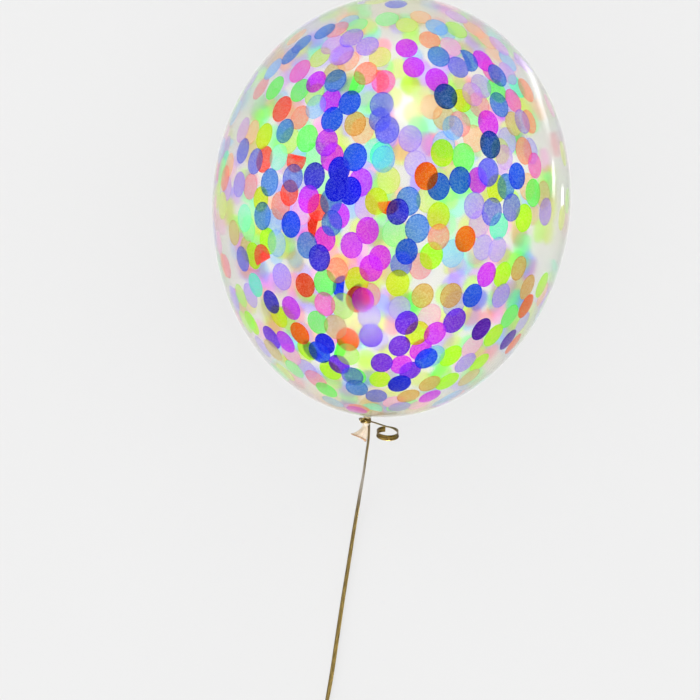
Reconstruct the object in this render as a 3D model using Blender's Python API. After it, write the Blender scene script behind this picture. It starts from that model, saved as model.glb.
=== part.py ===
"""A clear latex party balloon on a curling ribbon, lying on its side.

Lengths are metres and +Z is up. The balloon's axis lies along Y: the crown points to +Y, the knot and tail to -Y.
It rests on a small flat spot whose centre is the origin. The ribbon leaves the knot, comes down to the surface
that the balloon lies on, runs out along -Y and ends in a tied coil.
"""

import math

import bmesh
import bpy
from mathutils import Vector

# The inflated body: an egg, a little fuller towards the crown.
HALF_WIDTH = 0.150
HALF_LENGTH = 0.1765
CROWN_FULLNESS = 0.026
FLAT_DEPTH = 0.0016
REST_OFFSET = 0.003  # the balance point lies this far from the egg's middle, towards the crown

SEGMENTS = 60
BODY_RINGS = 44
TAIL_SEGMENTS = 32
CUT_DISTANCE = 1e-6

# The neck, the rolled latex knot and the flared tail with its lip, as distances beyond the egg's end.
# The latex is one piece, modelled as two solids that part at the top of the neck.
SHOULDER_RADIUS = 0.009
NECK_RADIUS = 0.0026
NECK_START = 0.0012
NECK_END = 0.0052
ROLL_RADIUS = 0.0036
TAIL_START = 0.0072
TAIL_LENGTH = 0.0098
TAIL_LEAN = math.radians(8)
LIP_RADIUS = 0.0060
LIP_BEAD = 0.00085
TAIL_WALL = 0.0008
MOUTH_DEPTH = 0.0080

# The curling ribbon: its width is what the tube's and the coil's sizes come from.
RIBBON_WIDTH = 0.005
SOLID_GAP = 0.0004
WRAP_THICKNESS = 0.0012
WRAP_HEIGHT = 0.0038
WRAP_SEGMENTS = 32
KNOT_LUMP = Vector((0.0027, 0.0021, 0.0022))
KNOT_TURN = math.radians(62)  # the overhand knot sits on the upper right of the neck
POINT_SPACING = 0.0110

BODY_MIDDLE = Vector((0.0, -REST_OFFSET, HALF_WIDTH - FLAT_DEPTH))
BODY_END = BODY_MIDDLE.y - HALF_LENGTH
KNOT_MIDDLE = Vector((0.0, BODY_END - (NECK_START + NECK_END) / 2, BODY_MIDDLE.z))

# The long end's own route, from the knot over the tail, down to the surface and out to the coil.
LONG_END_ROUTE = (
    (0.0018, -0.1862, 0.1550),
    (0.0015, -0.1910, 0.1566),
    (0.0011, -0.1990, 0.1583),
    (0.0007, -0.2085, 0.1568),
    (0.0004, -0.2180, 0.1500),
    (0.0002, -0.2260, 0.1370),
    (0.0002, -0.2315, 0.1190),
    (0.0003, -0.2360, 0.0980),
    (0.0005, -0.2400, 0.0760),
    (0.0006, -0.2445, 0.0540),
    (0.0006, -0.2505, 0.0330),
    (0.0005, -0.2600, 0.0155),
    (0.0001, -0.2730, 0.0058),
    (-0.0006, -0.2910, 0.0028),
    (-0.0017, -0.3180, 0.0028),
    (-0.0030, -0.3500, 0.0028),
    (-0.0044, -0.3850, 0.0028),
    (-0.0059, -0.4200, 0.0028),
    (-0.0072, -0.4450, 0.0028),
    (-0.0081, -0.4670, 0.0028),
)

# The short end is a loose curl beside the tail: one fat tube of the curl's outer size.
CURL_RADIUS = 0.0100
CURL_MIDDLE = KNOT_MIDDLE + Vector((0.0172, -0.0070, 0.0))
CURL_LENGTH = 0.0176

# The coil that the rest of the ribbon is wound into, standing on its edges, and the band that ties it.
COIL_MIDDLE = Vector((0.0242, -0.4840, 0.0))
COIL_RADIUS = 0.0275
COIL_WALL = 0.0130
COIL_BOTTOM = 0.0010
COIL_SEGMENTS = 40
TIE_THICKNESS = 0.0006
TIE_WIDTH = 0.0050


def clear_scene():
    """Empty the file of the objects it started with."""
    for obj in list(bpy.data.objects):
        bpy.data.objects.remove(obj)


def make_material(name, colour, roughness, metallic=0.0, alpha=1.0):
    """A Principled material with plain values."""
    material = bpy.data.materials.new(name)
    material.use_nodes = True
    shader = material.node_tree.nodes["Principled BSDF"]
    shader.inputs["Base Color"].default_value = (*colour, 1.0)
    shader.inputs["Roughness"].default_value = roughness
    shader.inputs["Metallic"].default_value = metallic
    shader.inputs["Alpha"].default_value = alpha
    material.diffuse_color = (*colour, alpha)
    return material


def object_from_bmesh(name, bm, material):
    """Close the bmesh into a smooth-shaded object of this name and material."""
    bmesh.ops.recalc_face_normals(bm, faces=bm.faces)
    mesh = bpy.data.meshes.new(name)
    bm.to_mesh(mesh)
    bm.free()
    mesh.shade_smooth()
    mesh.set_sharp_from_angle(angle=math.radians(40))
    mesh.materials.append(material)
    obj = bpy.data.objects.new(name, mesh)
    bpy.context.scene.collection.objects.link(obj)
    return obj


def egg_ring(angle):
    """The egg's ring at this angle from the crown: its place on the axis and its radius."""
    radius = HALF_WIDTH * math.sin(angle) * (1 + CROWN_FULLNESS * math.cos(angle))
    return BODY_MIDDLE.y + HALF_LENGTH * math.cos(angle), radius


def body_rings():
    """Rings from the crown's pole to the shoulder, where the latex draws in to the neck."""
    shoulder_angle = math.pi - math.asin(SHOULDER_RADIUS / HALF_WIDTH / (1 - CROWN_FULLNESS))
    angles = [shoulder_angle * step / BODY_RINGS for step in range(BODY_RINGS + 1)]
    return [egg_ring(angle) for angle in angles]


def curve_between(start, start_pull, end_pull, end, steps):
    """Points of a cubic Bezier after its first one, in any number of dimensions."""
    points = []
    for step in range(1, steps + 1):
        t = step / steps
        weights = ((1 - t) ** 3, 3 * t * (1 - t) ** 2, 3 * t * t * (1 - t), t**3)
        corners = zip(start, start_pull, end_pull, end)
        points.append(tuple(sum(w * c for w, c in zip(weights, corner)) for corner in corners))
    return points


def shoulder_rings(start):
    """The hollow curve in which the body draws in, and the pole that closes it at the neck's top."""
    neck_top = (BODY_END - NECK_START, NECK_RADIUS)
    rings = curve_between(start, (BODY_END, SHOULDER_RADIUS * 0.7), (BODY_END, NECK_RADIUS), neck_top, 6)
    return rings + [(neck_top[0], 0.0)]


def neck_rings():
    """The straight neck, from its own pole, and the rolled latex knot below it."""
    neck_top = BODY_END - NECK_START - SOLID_GAP
    rings = [(neck_top, 0.0), (neck_top, NECK_RADIUS)]
    roll_middle = BODY_END - (NECK_END + TAIL_START) / 2
    half_roll = (TAIL_START - NECK_END) / 2
    for step in range(7):
        angle = math.pi * step / 6
        swell = (ROLL_RADIUS - NECK_RADIUS) * math.sin(angle)
        rings.append((roll_middle + half_roll * math.cos(angle), NECK_RADIUS + swell))
    return rings


def tail_rings():
    """The tail's flared outside, the bead round its lip, and the open mouth back to its bottom."""
    tail_end = BODY_END - TAIL_START - TAIL_LENGTH
    bead_middle = tail_end + LIP_BEAD
    outside = curve_between(
        (BODY_END - TAIL_START, NECK_RADIUS),
        (BODY_END - TAIL_START - TAIL_LENGTH * 0.35, NECK_RADIUS * 1.25),
        (bead_middle + TAIL_LENGTH * 0.35, LIP_RADIUS * 0.82),
        (bead_middle + LIP_BEAD * 0.7, LIP_RADIUS + LIP_BEAD * 0.2),
        7,
    )
    bead = []
    for step in range(7):
        angle = math.radians(50 - 280 * step / 6)
        bead.append((bead_middle + LIP_BEAD * math.sin(angle), LIP_RADIUS + LIP_BEAD * math.cos(angle)))
    mouth = curve_between(
        (bead_middle + LIP_BEAD * 0.7, LIP_RADIUS - TAIL_WALL),
        (bead_middle + MOUTH_DEPTH * 0.4, LIP_RADIUS * 0.72 - TAIL_WALL / 2),
        (bead_middle + MOUTH_DEPTH * 0.8, NECK_RADIUS * 0.55),
        (bead_middle + MOUTH_DEPTH, NECK_RADIUS * 0.45),
        5,
    )
    return outside + bead + mouth + [(bead_middle + MOUTH_DEPTH + TAIL_WALL, 0.0)]


def lean_of(y):
    """How far the tail's middle has leant to -X at this place on the axis."""
    return -max(0.0, BODY_END - TAIL_START - y) * math.tan(TAIL_LEAN)


def turned_mesh(rings, segments, middle_z):
    """A closed mesh through rings (place on Y, radius), whose first and last rings are single points."""
    bm = bmesh.new()
    loops = []
    for y, radius in rings:
        middle = Vector((lean_of(y), y, middle_z))
        if radius < CUT_DISTANCE:
            loops.append([bm.verts.new(middle)])
            continue
        loop = []
        for step in range(segments):
            angle = 2 * math.pi * (step + 0.5) / segments
            loop.append(bm.verts.new(middle + radius * Vector((math.sin(angle), 0, math.cos(angle)))))
        loops.append(loop)
    for first, second in zip(loops, loops[1:]):
        for step in range(segments):
            after = (step + 1) % segments
            corners = [
                first[step % len(first)],
                first[after % len(first)],
                second[after % len(second)],
                second[step % len(second)],
            ]
            bm.faces.new(list(dict.fromkeys(corners)))
    return bm


def cut_flat_spot(bm):
    """Cut the body off flat at z = 0 and close the cut with one flat face."""
    everything = bm.verts[:] + bm.edges[:] + bm.faces[:]
    cut = bmesh.ops.bisect_plane(
        bm,
        geom=everything,
        dist=CUT_DISTANCE,
        plane_co=(0, 0, 0),
        plane_no=(0, 0, -1),
        clear_outer=True,
    )
    rim = [item for item in cut["geom_cut"] if isinstance(item, bmesh.types.BMEdge)]
    bmesh.ops.contextual_create(bm, geom=rim)


def balloon_envelope(material):
    """The inflated latex body, down to the neck."""
    body = body_rings()
    bm = turned_mesh(body + shoulder_rings(body[-1]), SEGMENTS, BODY_MIDDLE.z)
    cut_flat_spot(bm)
    return object_from_bmesh("balloon_envelope", bm, material)


def balloon_tail(material):
    """The same latex beyond the body: neck, rolled knot and open tail."""
    bm = turned_mesh(neck_rings() + tail_rings(), TAIL_SEGMENTS, BODY_MIDDLE.z)
    return object_from_bmesh("balloon_tail", bm, material)


def band_profile(inner, outer, low, high, edge):
    """A band's section with broken corners, as (radius, height) pairs that run down its outer side."""
    return (
        (outer - edge, high),
        (outer, high - edge),
        (outer, low + edge),
        (outer - edge, low),
        (inner + edge, low),
        (inner, low + edge),
        (inner, high - edge),
        (inner + edge, high),
    )


def turned_band(name, profile, segments, material):
    """A closed ring turned about Z from its section."""
    bm = bmesh.new()
    corners = [bm.verts.new((radius, 0, height)) for radius, height in profile]
    section = [bm.edges.new(pair) for pair in zip(corners, corners[1:] + corners[:1])]
    bmesh.ops.spin(
        bm,
        geom=corners + section,
        cent=(0, 0, 0),
        axis=(0, 0, 1),
        angle=2 * math.pi,
        steps=segments,
        use_merge=True,
    )
    bmesh.ops.remove_doubles(bm, verts=bm.verts, dist=CUT_DISTANCE)
    return object_from_bmesh(name, bm, material)


def ribbon_knot(material):
    """The ribbon's turns round the neck, and the overhand knot that locks them."""
    inner = NECK_RADIUS + SOLID_GAP
    profile = band_profile(inner, inner + WRAP_THICKNESS, -WRAP_HEIGHT / 2, WRAP_HEIGHT / 2, WRAP_THICKNESS / 3)
    wrap = turned_band("ribbon_knot", profile, WRAP_SEGMENTS, material)
    wrap.rotation_euler = (math.pi / 2, 0, 0)
    wrap.location = KNOT_MIDDLE

    bm = bmesh.new()
    bmesh.ops.create_uvsphere(bm, u_segments=20, v_segments=12, radius=1.0)
    bmesh.ops.scale(bm, vec=KNOT_LUMP, verts=bm.verts)
    lump = object_from_bmesh("overhand_knot", bm, material)
    reach = inner + WRAP_THICKNESS / 2 + KNOT_LUMP.z
    lump.location = KNOT_MIDDLE + reach * Vector((math.cos(KNOT_TURN), 0, math.sin(KNOT_TURN)))
    lump.rotation_euler = (0, math.pi / 2 - KNOT_TURN, 0)
    lump.hide_render = True
    lump.display_type = "WIRE"

    join = wrap.modifiers.new("overhand knot", "BOOLEAN")
    join.operation = "UNION"
    join.object = lump
    return wrap


def smooth_route(points, spacing):
    """Points at this spacing along a smooth curve through the given ones."""
    points = [Vector(point) for point in points]
    padded = [2 * points[0] - points[1], *points, 2 * points[-1] - points[-2]]
    fine = []
    for before, start, end, after in zip(padded, padded[1:], padded[2:], padded[3:]):
        for step in range(40):
            t = step / 40
            fine.append(
                0.5
                * (
                    2 * start
                    + (end - before) * t
                    + (2 * before - 5 * start + 4 * end - after) * t**2
                    + (3 * start - before - 3 * end + after) * t**3
                )
            )
    fine.append(points[-1])
    travelled = [0.0]
    for first, second in zip(fine, fine[1:]):
        travelled.append(travelled[-1] + (second - first).length)
    count = round(travelled[-1] / spacing)
    route = []
    index = 0
    for step in range(count + 1):
        wanted = travelled[-1] * step / count
        while index < len(fine) - 2 and travelled[index + 1] < wanted:
            index += 1
        share = (wanted - travelled[index]) / (travelled[index + 1] - travelled[index])
        route.append(fine[index].lerp(fine[index + 1], share))
    return route


def tube(name, points, radius, resolution, material):
    """A round tube with closed ends along the points."""
    curve = bpy.data.curves.new(name, "CURVE")
    curve.dimensions = "3D"
    curve.bevel_depth = radius
    curve.bevel_resolution = resolution
    curve.use_fill_caps = True
    spline = curve.splines.new("POLY")
    spline.points.add(len(points) - 1)
    for place, point in zip(spline.points, points):
        place.co = (*point, 1.0)
    curve.materials.append(material)
    obj = bpy.data.objects.new(name, curve)
    bpy.context.scene.collection.objects.link(obj)
    return obj


def ribbon_long_end(material):
    """The stretch from the knot to the coil."""
    route = smooth_route(LONG_END_ROUTE, POINT_SPACING)
    return tube("ribbon_long_end", route, RIBBON_WIDTH / 2, 2, material)


def ribbon_short_end(material):
    """The cut end's curl, as the tube that it fills."""
    half = Vector((0, CURL_LENGTH / 2, 0))
    return tube("ribbon_short_end", (CURL_MIDDLE + half, CURL_MIDDLE - half), CURL_RADIUS, 6, material)


def ribbon_coil(material):
    """The outer shape of the wound ribbon."""
    profile = band_profile(
        COIL_RADIUS - COIL_WALL / 2,
        COIL_RADIUS + COIL_WALL / 2,
        COIL_BOTTOM,
        COIL_BOTTOM + RIBBON_WIDTH,
        RIBBON_WIDTH / 10,
    )
    coil = turned_band("ribbon_coil", profile, COIL_SEGMENTS, material)
    coil.location = COIL_MIDDLE
    return coil


def coil_tie(material):
    """The band that goes round the coil's section on its far side."""
    inner_half = COIL_WALL / 2 + SOLID_GAP
    low = COIL_BOTTOM - SOLID_GAP
    high = COIL_BOTTOM + RIBBON_WIDTH + SOLID_GAP
    bm = bmesh.new()
    loops = []
    for grow in (0.0, TIE_THICKNESS):
        half = inner_half + grow
        corners = ((-half, low - grow), (half, low - grow), (half, high + grow), (-half, high + grow))
        for side in (-TIE_WIDTH / 2, TIE_WIDTH / 2):
            loops.append([bm.verts.new((side, -COIL_RADIUS + along, height)) for along, height in corners])
    inner_near, inner_far, outer_near, outer_far = loops
    for first, second in (
        (inner_near, inner_far),
        (outer_near, outer_far),
        (inner_near, outer_near),
        (inner_far, outer_far),
    ):
        for step in range(4):
            after = (step + 1) % 4
            bm.faces.new((first[step], first[after], second[after], second[step]))
    tie = object_from_bmesh("coil_tie", bm, material)
    tie.location = COIL_MIDDLE
    return tie


def main():
    clear_scene()
    latex = make_material("clear_latex", (0.86, 0.84, 0.78), 0.15, alpha=0.35)
    gold = make_material("gold_ribbon", (0.55, 0.38, 0.13), 0.30, metallic=0.8)
    paper = make_material("paper_band", (0.87, 0.85, 0.80), 0.80)
    balloon_envelope(latex)
    balloon_tail(latex)
    ribbon_knot(gold)
    ribbon_long_end(gold)
    ribbon_short_end(gold)
    ribbon_coil(gold)
    coil_tie(paper)


main()
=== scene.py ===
"""Dresses a confetti balloon: its clear latex, its sealed tissue discs, its curling ribbon and the studio.

Laid out as an add-on and run as a script. Lengths are metres in the frame's own coordinates: the balloon lies
along Y with its crown at +Y and its knot at -Y, and +Z is up.
"""

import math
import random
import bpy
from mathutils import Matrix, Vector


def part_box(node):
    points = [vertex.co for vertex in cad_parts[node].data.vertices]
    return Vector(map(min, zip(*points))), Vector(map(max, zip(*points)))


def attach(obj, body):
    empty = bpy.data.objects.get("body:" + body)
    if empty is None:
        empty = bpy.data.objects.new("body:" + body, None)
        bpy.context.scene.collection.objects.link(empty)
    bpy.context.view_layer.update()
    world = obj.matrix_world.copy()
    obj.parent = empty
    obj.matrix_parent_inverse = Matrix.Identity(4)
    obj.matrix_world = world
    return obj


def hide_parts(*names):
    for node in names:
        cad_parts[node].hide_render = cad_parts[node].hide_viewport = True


bl_info = {
    "name": "Confetti balloon",
    "version": (1, 0, 0),
    "blender": (4, 5, 0),
    "location": "3D View > Sidebar > Balloon",
    "description": "Clear latex balloon with tissue confetti and a metallised curling ribbon",
    "category": "Object",
}

import bmesh
import bpy
from mathutils import Matrix, Vector
from mathutils.bvhtree import BVHTree

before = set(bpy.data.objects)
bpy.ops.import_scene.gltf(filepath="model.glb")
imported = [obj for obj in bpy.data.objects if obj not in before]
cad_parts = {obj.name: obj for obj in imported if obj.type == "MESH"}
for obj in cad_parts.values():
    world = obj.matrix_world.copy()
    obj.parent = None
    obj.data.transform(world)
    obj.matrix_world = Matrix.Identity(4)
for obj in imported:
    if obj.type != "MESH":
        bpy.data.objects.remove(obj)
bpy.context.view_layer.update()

# The latex's own distances beyond the egg's end, as the solids have them where no comment says otherwise.
NECK_START = 0.0012
NECK_END = 0.0052
NECK_RADIUS = 0.0026
SHOULDER_RADIUS = 0.009
ROLL_RADIUS = 0.0036
TAIL_START = 0.0072
TAIL_LENGTH = 0.0112  # 1.4 mm longer than the solid
TAIL_LEAN = math.radians(8)
LIP_TILT = math.radians(22)
LIP_RADIUS = 0.0060
LIP_BEAD = 0.0006  # a quarter of a millimetre finer than the solid's
TAIL_WALL = 0.0008
MOUTH_DEPTH = 0.0080
CROWN_FULLNESS = 0.026

# How the tail is gathered and how its lip hangs.
FIVE_PLEATS = 0.16  # depth of its five broad pleats, as a share of the radius
NINE_PLEATS = 0.07  # and of its nine narrow ones
LIP_FLATNESS = 0.16  # how much less high than wide the lip is
LIP_SWAY = 0.0038  # how far the lip hangs to the side
LIP_WAVE = 0.0004

# Rings and segments of the latex, and of the coarser wall that discs and lamps are laid out on.
BODY_RINGS = 150
SHOULDER_RINGS = 14
ROLL_STEPS = 12
BEAD_STEPS = 14
WALL_RINGS = 110
WALL_SEGMENTS = 140

# The egg's middle and half sizes, from the solid that stands for it.
BODY_LOW, BODY_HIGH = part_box("balloon_envelope")
HALF_WIDTH = (BODY_HIGH.x - BODY_LOW.x) / 2
HALF_LENGTH = (BODY_HIGH.y - BODY_LOW.y - NECK_START) / 2
BODY_MIDDLE = Vector((0, BODY_HIGH.y - HALF_LENGTH, BODY_HIGH.z - HALF_WIDTH))
BODY_END = BODY_MIDDLE.y - HALF_LENGTH
KNOT_MIDDLE = Vector((0, BODY_END - (NECK_START + NECK_END) / 2, BODY_MIDDLE.z))
KNOT_OFFSET = Vector((-0.0034, 0, 0.0042))  # the overhand knot's middle, from the neck's
KNOT_SCALE = Vector((0.000897, 0.000702, 0.000858))  # how its curve is scaled along each axis

# The camera looks straight down on the lying balloon, turned so that the crown leans to the right.
CAMERA_PLACE = Vector((-0.0205, -0.1256, 2.0))
CAMERA_TURN = math.radians(6.4)
SEEN_RIGHT = Vector((math.cos(CAMERA_TURN), math.sin(CAMERA_TURN), 0))
SEEN_UP = Vector((-math.sin(CAMERA_TURN), math.cos(CAMERA_TURN), 0))

# The ribbon's long end. It falls and lies up to 2.5 mm to the right of the solid that stands for it.
LONG_END_ROUTE = (
    (0.0022, -0.1862, 0.1550),
    (0.0027, -0.1910, 0.1566),
    (0.0031, -0.1990, 0.1583),
    (0.0028, -0.2085, 0.1568),
    (0.0026, -0.2180, 0.1500),
    (0.0026, -0.2260, 0.1370),
    (0.0026, -0.2315, 0.1190),
    (0.0027, -0.2360, 0.0980),
    (0.0028, -0.2400, 0.0760),
    (0.0028, -0.2445, 0.0540),
    (0.0027, -0.2505, 0.0330),
    (0.0025, -0.2600, 0.0155),
    (0.0019, -0.2730, 0.0058),
    (0.0010, -0.2910, 0.0028),
    (-0.0002, -0.3180, 0.0028),
    (-0.0017, -0.3500, 0.0028),
    (-0.0030, -0.3850, 0.0028),
    (-0.0043, -0.4200, 0.0028),
    (-0.0060, -0.4450, 0.0028),
    (-0.0081, -0.4670, 0.0028),
)
FLOOR_RUN_HEIGHT = 0.0028  # the height of the route's last points, which lie along the floor
FLOOR_LEVEL = -0.0003  # just under what lies on it
FLOOR_HALF = 4.0
ON_EDGE_AT = 0.415  # how far along it the ribbon stands on its edge, ready to coil

COIL_LOW, COIL_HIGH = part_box("ribbon_coil")
COIL_MIDDLE = (COIL_LOW + COIL_HIGH) / 2
COIL_OUTER = (COIL_HIGH.x - COIL_LOW.x) / 2 - 0.0008
COIL_INNER = COIL_OUTER - 0.0122
COIL_POINTS = 24  # route points in each turn
COIL_DROP = 0.0002  # how far the turns sink towards the floor

# The short end, as steps from the knot's middle: how it leaves the knot, and the ring that it curls into.
SHORT_END_START = (
    (-0.0012, 0.0003, 0.0050),
    (0.0020, -0.0002, 0.0063),
    (0.0062, -0.0008, 0.0078),
    (0.0112, -0.0018, 0.0088),
)
CURL_MIDDLE = Vector((0.0165, -0.0076, 0))
CURL_RADIUS = 0.0103
CURL_TILT = math.radians(27)
CURL_TURN = math.radians(335)
CURL_DRIFT = Vector((0.0040, -0.0018, 0))  # how far the ring's end lies from its start

FINE_STEPS = 20  # between two points of a route, before it is spaced evenly
LONG_END_SPACING = 0.003
SHORT_END_SPACING = 0.0012
RIBBON_CUP = 0.04  # depth for its width

# The ribbon's turns round the neck, as (offset along it, radius), and its points in a turn and in the knot.
NECK_TURNS = ((0.0009, 0.00335), (-0.0006, 0.0036), (-0.0014, 0.0033))
TURN_POINTS = 24
KNOT_POINTS = 60
TURN_BAND = (0.0017, 0.00045)  # the gathered ribbon's width and thickness there
KNOT_BAND = (0.0015, 0.0006)
CRUMPLE_DEPTH = 0.45  # in shares of the thickness
RIPPLE_DEPTH = 0.2

# Tissue papers by name, with the colour that each lets through.
PAPERS = {
    "royal blue": "#2862F4",
    "deep blue": "#0C1EE6",
    "navy": "#2458B4",
    "indigo": "#4640E0",
    "steel blue": "#649CE8",
    "slate blue": "#8C94F4",
    "sky blue": "#A6D2FF",
    "magenta": "#E04AFF",
    "orchid": "#D056FF",
    "purple": "#8038F6",
    "plum": "#5806BC",
    "lavender": "#C4B0FF",
    "pink": "#FC90D8",
    "red": "#FF7266",
    "brick red": "#EA5A30",
    "orange": "#FC7404",
    "salmon": "#FFB49C",
    "tan": "#E8C078",
    "yellow": "#E0EC3C",
    "lime": "#C8FF34",
    "green": "#90FF88",
    "aqua": "#88FFDA",
}

# Pale papers, which mostly stick to the wall that lies lowest. The commoner ones are named more than once.
PALE_PAPERS = {
    "blush": "#FCCBEE",
    "peach": "#FDD3B9",
    "butter": "#E6F29E",
    "mint": "#BAFBC2",
    "pale aqua": "#B6FAEA",
    "powder blue": "#BADAFB",
    "lilac": "#D2C6FC",
    "straw": "#E4D2A0",
    "rose": "#F9B8C4",
    "pale lime": "#D4FA98",
    "mauve": "#E4C2F8",
}
PALE_MIX = (
    "pale lime", "pale lime", "butter", "butter", "butter", "lilac", "lilac", "blush", "blush", "peach",
    "mint", "mint", "pale aqua", "powder blue", "powder blue", "rose", "straw", "mauve",
)

# The strong papers that are found on the sides and on the wall that lies lowest.
STRONG_MIX = (
    "lavender", "slate blue", "sky blue", "pink", "salmon", "tan",
    "yellow", "lime", "green", "aqua", "orchid",
)

# How far down the wall must face for discs to gather on it, and how far up to be left to UPPER_DISCS.
LOW_NORMAL = -0.35
HIGH_NORMAL = 0.38
RIGHT_NORMAL = 0.7  # how far to the seen right it must face for discs to be sparse
NECK_MARGIN = 0.003  # no disc lies nearer to the neck

# The chance that a drawn place keeps its disc, and the share of pale papers, by where it is.
LOW_CHANCE = 1.0
RIGHT_CHANCE = 0.2
OTHER_CHANCE = 0.45
END_LOSS = 0.4  # how much of the chance is lost at the balloon's two ends
END_FADE = (0.45 * HALF_LENGTH, 0.85 * HALF_LENGTH)  # from the middle, between which it is lost
PALE_LOW = 0.94
PALE_ELSEWHERE = 0.84

CREASED_SHARE = 0.16  # of the scattered discs
CREASE_PLACES = (-0.4, 0.5)  # between these shares of the radius
CREASE_TURNS = (30, 60, 168, 170)  # in degrees
DISC_SIZES = (0.94, 1.06)  # between these shares of the usual size

# Where discs stick to the upper wall as seen: right and up, in hundredths of the half width and half length.
UPPER_DISCS = {
    "royal blue": (
        (-23, 50), (-33, 42), (-20, 24), (-56, -8), (39, 13), (27, 10), (9, -21), (71, 15), (20, -72),
        (-40, -69), (46, -42),
    ),
    "deep blue": ((-29, 18), (-31, 9), (-23, 8), (5, -84), (-37, -65)),
    "navy": ((31, 53), (56, 30)),
    "indigo": ((-43, 15), (-40, -24), (4, -2), (-67, -45)),
    "steel blue": (
        (27, 72), (-59.3, 36.5), (-37, 84), (-50, 78), (-33, -7.5), (-47, -18), (-33.5, 3), (-68, 12),
        (60, 63), (-19, -86), (-56, 73), (61, 49), (-31, 60.5), (65, 10), (10, 3), (15, -10), (-72, -4),
    ),
    "slate blue": (
        (-5, 49), (38, 67), (-8, -90), (-83, 27), (-6, 42), (68, 0), (3, 97), (-55, 14), (-76, 22),
        (-2, 37), (57, -2), (6, -27), (-83, -24.5), (55, 17), (-21.5, -80.5),
    ),
    "sky blue": ((24, -71), (-4, 23), (35, 38), (-66, 66), (26, 86)),
    "magenta": (
        (9, 76), (13, 67), (-34, 51), (-33, 24), (-46, 4), (-29, -4), (-37, -15), (-6, -24), (-42, 60),
        (26, 61), (49, 13), (25, -60), (17, -68), (6, -75), (52, 70), (22, -90), (-11, -29), (-19, -96.5),
        (-13, -11), (54, -32), (-15.5, -44), (55, 40),
    ),
    "orchid": ((-36, 31), (-22, -18), (-17, 12), (-56, -48), (-59, -64)),
    "purple": ((-11, -61), (9, -55), (5, -66), (36, -54), (-5, -74), (11, -78), (-67, -62), (-29, -75)),
    "plum": ((51, -58), (66, -63)),
    "lavender": (
        (5, -95), (11, 33), (62, -42), (-12, -52), (47, 1), (42, -74), (-22, 81), (-13, 77), (-27, 73),
        (87, -2), (-85, 11), (74, 41), (54.5, 16.5), (-61, -33),
    ),
    "pink": ((69, 51), (81, 20), (-4, 60), (-51, 65), (-37, -46), (57, 65)),
    "red": ((-61, 47), (-71, 23), (-41, 0), (-57, 7)),
    "brick red": ((-48, -37), (-18.5, -44)),
    "orange": ((42, -15), (20, 15), (-51, -60), (-24, -63), (76, -47), (69, -65)),
    "salmon": (
        (22, 80), (-14, 64), (-51, 43), (-30, -30), (-18, -96), (75, 27), (76, 56), (-93, 14), (-62, 1),
        (27, -14), (78, 41),
    ),
    "tan": ((18, -42), (34, -42), (72, -29), (22, -84), (10, -90), (77, -38), (-20, 40)),
    "yellow": (
        (-8, 3), (-19, -35), (15, -60), (-71, 34), (4, -36), (27, -4), (-63, -52), (-73, 4), (40, 51),
        (60, 9),
    ),
    "lime": (
        (29, 26), (75, -5), (-6, -82), (58, -61), (-47, -68), (23, -23), (63, -32), (32, -83), (50, -74),
        (-69, -16), (-78, -55), (34, -71), (-34, -78), (-77, -23), (85, -37),
    ),
    "green": (
        (41, 24), (-51, 56), (-65, 57), (-47, 33), (-37, -36), (-41, -55), (60, 56), (80, 7), (67, -52),
        (-36, -87), (-20, -81),
    ),
    "aqua": ((61, -9), (-5, 25), (-76, -37), (71, 58)),
    "mauve": (
        (-28, 73), (37, 91), (61, 77), (-14, 0), (50, -8), (-83, 37), (46, 54), (-33, 78), (-92, 9),
        (66, 64), (64, 24),
    ),
    "rose": (
        (-30, 85), (-73, 57), (-79, 10), (50, 49), (39, 40), (17, -28), (-42, -82), (-12, -42), (-92, -28),
    ),
    "peach": (
        (-24, 70), (-16, 37), (-78, 36), (17, 91), (47, 85), (54, 80), (23, 48), (47, 33), (-91, 20),
        (77, 10),
    ),
    "blush": ((16, -94), (34, 77), (22, -52), (46, -66), (-56, -70), (-50, -2), (2, -93)),
    "straw": (
        (-32, 65), (69, 40), (30, 43), (-31, -57), (-66, -68), (44, -81), (86, 6), (-81, -20), (-88, -12),
    ),
    "butter": ((-40, 72), (-6, 72), (9, 87), (-1, 13), (-57, 32), (21, 4), (62, 27)),
    "pale lime": ((37, 85), (-27, -47), (-59, -53), (-43, 54), (-84, -42), (-24, -70)),
    "mint": ((-19, 87), (-2, 90), (-42, 25), (46, 44), (2, -12), (-54, -77), (-80, -10)),
    "pale aqua": ((-63, 24), (-9, 27), (-82, -5)),
    "powder blue": (
        (-42, 48), (-24, 89), (31, 84), (-66, -7), (66, 70), (-64, -17), (30, 30), (-87, 45), (35, -22),
    ),
    "lilac": (
        (66, 32), (5, -48), (-47, -77), (52, -19), (60, -20), (-79, -42), (36, -46), (74, -55), (14, 21),
        (-2, 35), (51, 58), (79, 27),
    ),
}

# The tall strip light's image along the balloon's right rim: its middle and half width, going down.
RIM_IMAGE = (
    (0.700, 0.735, 0.020),
    (0.774, 0.645, 0.026),
    (0.835, 0.502, 0.026),
    (0.874, 0.384, 0.020),
    (0.893, 0.290, 0.012),
)

# The image of the wide softbox on the same side, fainter: left and right edges, going down.
SIDE_IMAGE = (
    ((0.615, 0.623), (0.690, 0.700)),
    ((0.727, 0.487), (0.816, 0.547)),
    ((0.822, 0.288), (0.923, 0.323)),
    ((0.861, 0.068), (0.966, 0.077)),
    ((0.842, -0.155), (0.944, -0.174)),
    ((0.764, -0.369), (0.858, -0.414)),
    ((0.665, -0.522), (0.746, -0.585)),
)

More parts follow.
